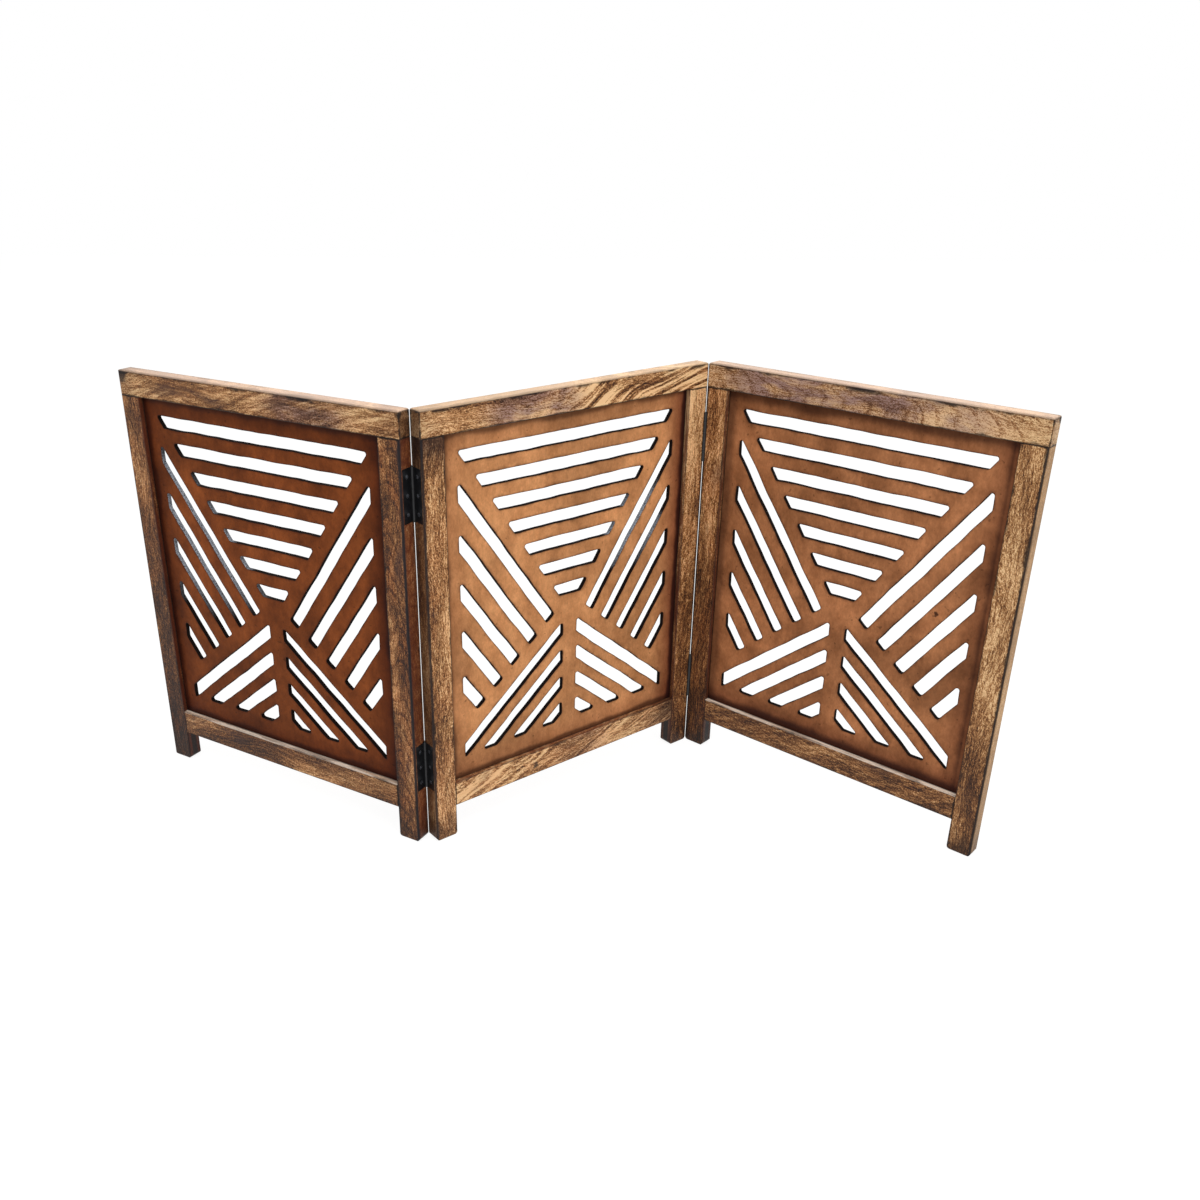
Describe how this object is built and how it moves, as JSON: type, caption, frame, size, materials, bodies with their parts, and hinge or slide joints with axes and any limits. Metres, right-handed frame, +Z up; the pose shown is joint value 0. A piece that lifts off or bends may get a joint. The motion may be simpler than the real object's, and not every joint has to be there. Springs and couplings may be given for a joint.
{
  "type": "folding jali screen",
  "caption": "Low folding screen of three wooden frames, each holding a board cut with slanted and level slots, joined in a zigzag by butt hinges.",
  "frame": {"origin": "on the floor, at the middle of the standing screen's box", "axes": "+X along the screen to the right, +Y away from the viewer, +Z up"},
  "size_m": [1.1964, 0.3282, 0.61],
  "materials": {
    "frame_wood": "golden to dark brown hardwood, wavy grain, burnt edges, satin lacquer",
    "board": "smooth red-brown stained board, shaded dark at the frame, burnt slot edges, semi-gloss lacquer",
    "dowel_wood": "bare beech",
    "black_steel": "black painted steel, semi-gloss, worn on the knuckles",
    "screw_steel": "zinc-plated steel"
  },
  "bodies": {
    "left_panel": {"left_panel_left_stile": "frame_wood", "left_panel_right_stile": "frame_wood", "left_panel_top_rail": "frame_wood", "left_panel_bottom_rail": "frame_wood", "left_panel_slotted_board": "board", "left_panel_dowels": "dowel_wood", "left_fold_upper_hinge_left_leaf": "black_steel", "left_fold_upper_hinge_left_screws": "screw_steel", "left_fold_lower_hinge_left_leaf": "black_steel", "left_fold_lower_hinge_left_screws": "screw_steel"},
    "middle_panel": {"middle_panel_left_stile": "frame_wood", "middle_panel_right_stile": "frame_wood", "middle_panel_top_rail": "frame_wood", "middle_panel_bottom_rail": "frame_wood", "middle_panel_slotted_board": "board", "middle_panel_dowels": "dowel_wood", "left_fold_upper_hinge_right_leaf": "black_steel", "left_fold_upper_hinge_right_screws": "screw_steel", "left_fold_upper_hinge_pin": "black_steel", "left_fold_lower_hinge_right_leaf": "black_steel", "left_fold_lower_hinge_right_screws": "screw_steel", "left_fold_lower_hinge_pin": "black_steel", "right_fold_upper_hinge_left_leaf": "black_steel", "right_fold_upper_hinge_left_screws": "screw_steel", "right_fold_upper_hinge_pin": "black_steel", "right_fold_lower_hinge_left_leaf": "black_steel", "right_fold_lower_hinge_left_screws": "screw_steel", "right_fold_lower_hinge_pin": "black_steel"},
    "right_panel": {"right_panel_left_stile": "frame_wood", "right_panel_right_stile": "frame_wood", "right_panel_top_rail": "frame_wood", "right_panel_bottom_rail": "frame_wood", "right_panel_slotted_board": "board", "right_panel_dowels": "dowel_wood", "right_fold_upper_hinge_right_leaf": "black_steel", "right_fold_upper_hinge_right_screws": "screw_steel", "right_fold_lower_hinge_right_leaf": "black_steel", "right_fold_lower_hinge_right_screws": "screw_steel"}
  },
  "joints": [
    {"name": "left_fold", "type": "hinge", "parent": "middle_panel", "child": "left_panel", "pos_m": [-0.16361, -0.14541, 0], "axis": [0, 0, 1], "range_deg": [-112, 68]},
    {"name": "right_fold", "type": "hinge", "parent": "middle_panel", "child": "right_panel", "pos_m": [0.21712, 0.14823, 0], "axis": [0, 0, 1], "range_deg": [-99.7, 80.3]}
  ]
}
